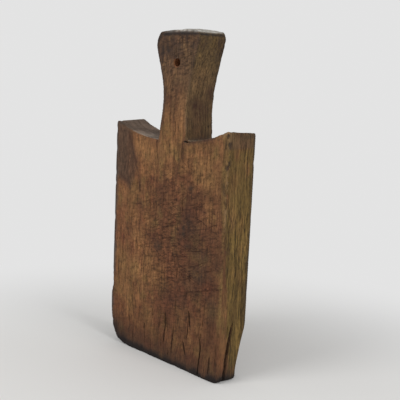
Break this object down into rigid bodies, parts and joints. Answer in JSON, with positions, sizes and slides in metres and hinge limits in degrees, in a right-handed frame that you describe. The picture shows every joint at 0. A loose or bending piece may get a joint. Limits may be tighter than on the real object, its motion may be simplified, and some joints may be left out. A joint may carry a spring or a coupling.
{
  "type": "chopping board with handle",
  "caption": "Thick one-piece wooden board with scooped shoulders and a fishtail handle pierced by a hanging hole, for cutting, carrying and serving food.",
  "frame": {"origin": "centre of the bounding box at the lower end, on the surface that the board stands on", "axes": "+Z along the grain from the lower end up to the handle, +Y through the thickness from the front face to the back face, +X across the width to the right as the front face is seen"},
  "size_m": [0.1868, 0.0414, 0.3867],
  "materials": {
    "old_wood": "bare old hardwood, hand-worn, knife-marked and stained, matt with a faint handling sheen"
  },
  "bodies": {
    "root": {"board": "old_wood"}
  },
  "joints": []
}
